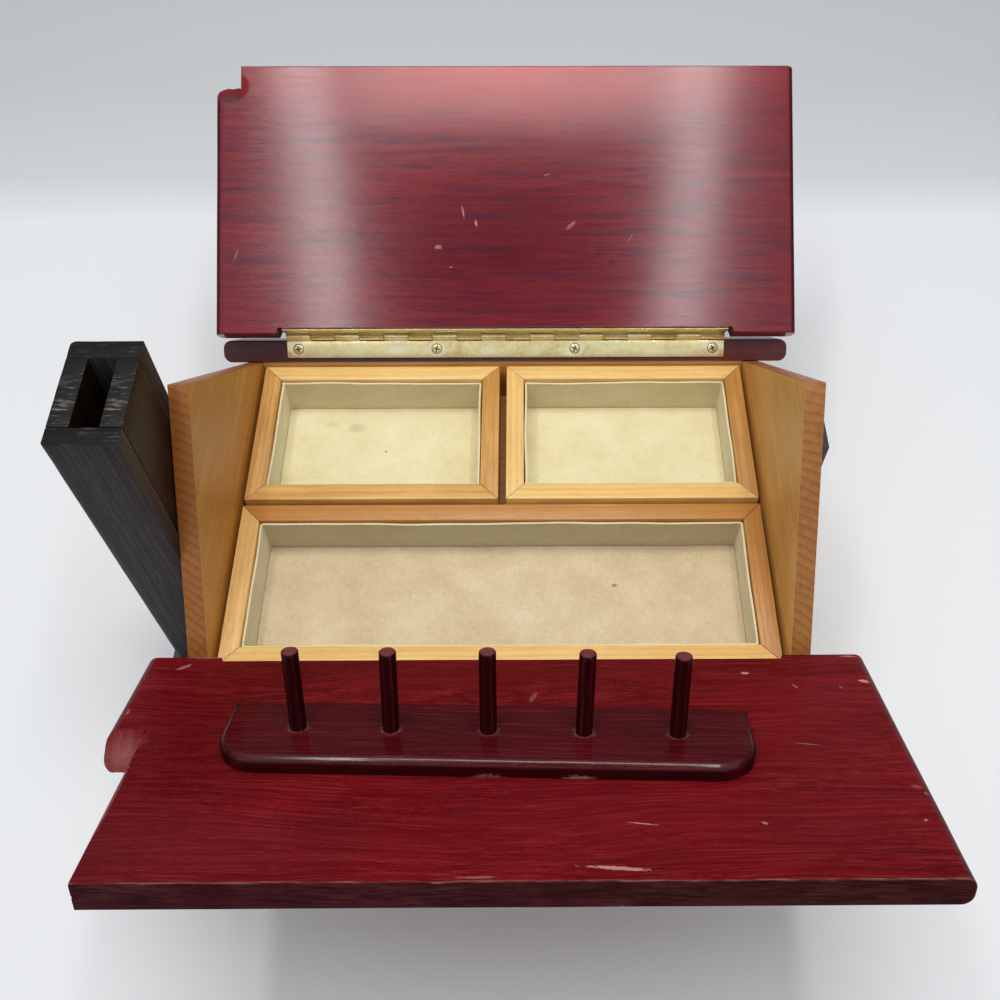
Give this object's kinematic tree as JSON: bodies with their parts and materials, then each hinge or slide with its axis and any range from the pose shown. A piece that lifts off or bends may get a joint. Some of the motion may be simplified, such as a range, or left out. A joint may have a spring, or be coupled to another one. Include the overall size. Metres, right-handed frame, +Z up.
{
  "type": "sewing box with drawers",
  "caption": "House-shaped wooden sewing box: hinged roof panels open like wings over lift-out trays, with drawers below, a spool rack in the roof and a hollow chimney for scissors.",
  "frame": {"origin": "on the underside of the base board, below the middle of the ridge line between the gables", "axes": "+X towards the right gable, along the ridge; +Y to the back; +Z up"},
  "size_m": [0.3393, 0.4328, 0.2185],
  "materials": {
    "red_stain": "satin crimson stain over straight-grained board",
    "dark_red_gloss": "dark red gloss varnish",
    "honey_pine": "clear varnished pine",
    "charcoal_stain": "matt black-grey stain with worn edges",
    "grey_paint": "dark grey stain",
    "dark_stain": "dark brown stain",
    "aged_brass": "aged brass plate",
    "cream_felt": "cream felt on card",
    "grey_felt": "beige grey felt on card"
  },
  "bodies": {
    "house": {"base_board": "grey_paint", "gable_left": "honey_pine", "gable_right": "honey_pine", "back_wall": "honey_pine", "front_rail": "honey_pine", "shelf_board": "honey_pine", "drawer_divider": "honey_pine", "eave_strip_front": "red_stain", "eave_strip_back": "red_stain", "hinge_front_fixed_leaf": "aged_brass", "hinge_front_fixed_screws": "aged_brass", "hinge_front_pin": "aged_brass", "hinge_back_fixed_leaf": "aged_brass", "hinge_back_fixed_screws": "aged_brass", "hinge_back_pin": "aged_brass", "chimney_front": "charcoal_stain", "chimney_back": "charcoal_stain", "chimney_outer_side": "charcoal_stain", "chimney_inner_side": "charcoal_stain", "gable_vent": "dark_stain"},
    "roof_front": {"roof_panel_front": "red_stain", "hinge_front_moving_leaf": "aged_brass", "hinge_front_moving_screws": "aged_brass", "spool_rack": "dark_red_gloss", "spool_pegs": "dark_red_gloss"},
    "roof_back": {"roof_panel_back": "red_stain", "hinge_back_moving_leaf": "aged_brass", "hinge_back_moving_screws": "aged_brass"},
    "tray_front": {"tray_front_front_rail": "honey_pine", "tray_front_right_rail": "honey_pine", "tray_front_back_rail": "honey_pine", "tray_front_left_rail": "honey_pine", "tray_front_bottom": "honey_pine", "tray_front_lining": "grey_felt"},
    "tray_rear_left": {"tray_rear_left_front_rail": "honey_pine", "tray_rear_left_right_rail": "honey_pine", "tray_rear_left_back_rail": "honey_pine", "tray_rear_left_left_rail": "honey_pine", "tray_rear_left_bottom": "honey_pine", "tray_rear_left_lining": "cream_felt"},
    "tray_rear_right": {"tray_rear_right_front_rail": "honey_pine", "tray_rear_right_right_rail": "honey_pine", "tray_rear_right_back_rail": "honey_pine", "tray_rear_right_left_rail": "honey_pine", "tray_rear_right_bottom": "honey_pine", "tray_rear_right_lining": "cream_felt"},
    "drawer_left": {"drawer_left_front": "honey_pine", "drawer_left_left_side": "honey_pine", "drawer_left_right_side": "honey_pine", "drawer_left_back": "honey_pine", "drawer_left_bottom": "honey_pine", "drawer_left_knob": "aged_brass"},
    "drawer_right": {"drawer_right_front": "honey_pine", "drawer_right_left_side": "honey_pine", "drawer_right_right_side": "honey_pine", "drawer_right_back": "honey_pine", "drawer_right_bottom": "honey_pine", "drawer_right_knob": "aged_brass"}
  },
  "joints": [
    {"name": "roof_front_hinge", "type": "hinge", "parent": "house", "child": "roof_front", "pos_m": [0.0028, -0.10147, 0.10726], "axis": [1, 0, 0], "range_deg": [-104, 0]},
    {"name": "roof_back_hinge", "type": "hinge", "parent": "house", "child": "roof_back", "pos_m": [0.0028, 0.10147, 0.10726], "axis": [-1, 0, 0], "range_deg": [-104, 0]},
    {"name": "tray_front_lift", "type": "slide", "parent": "house", "child": "tray_front", "axis": [0, 0, 1], "range_m": [0, 0.06]},
    {"name": "tray_rear_left_lift", "type": "slide", "parent": "house", "child": "tray_rear_left", "axis": [0, 0, 1], "range_m": [0, 0.06]},
    {"name": "tray_rear_right_lift", "type": "slide", "parent": "house", "child": "tray_rear_right", "axis": [0, 0, 1], "range_m": [0, 0.06]},
    {"name": "drawer_left_slide", "type": "slide", "parent": "house", "child": "drawer_left", "axis": [0, -1, 0], "range_m": [0, 0.12]},
    {"name": "drawer_right_slide", "type": "slide", "parent": "house", "child": "drawer_right", "axis": [0, -1, 0], "range_m": [0, 0.12]}
  ]
}
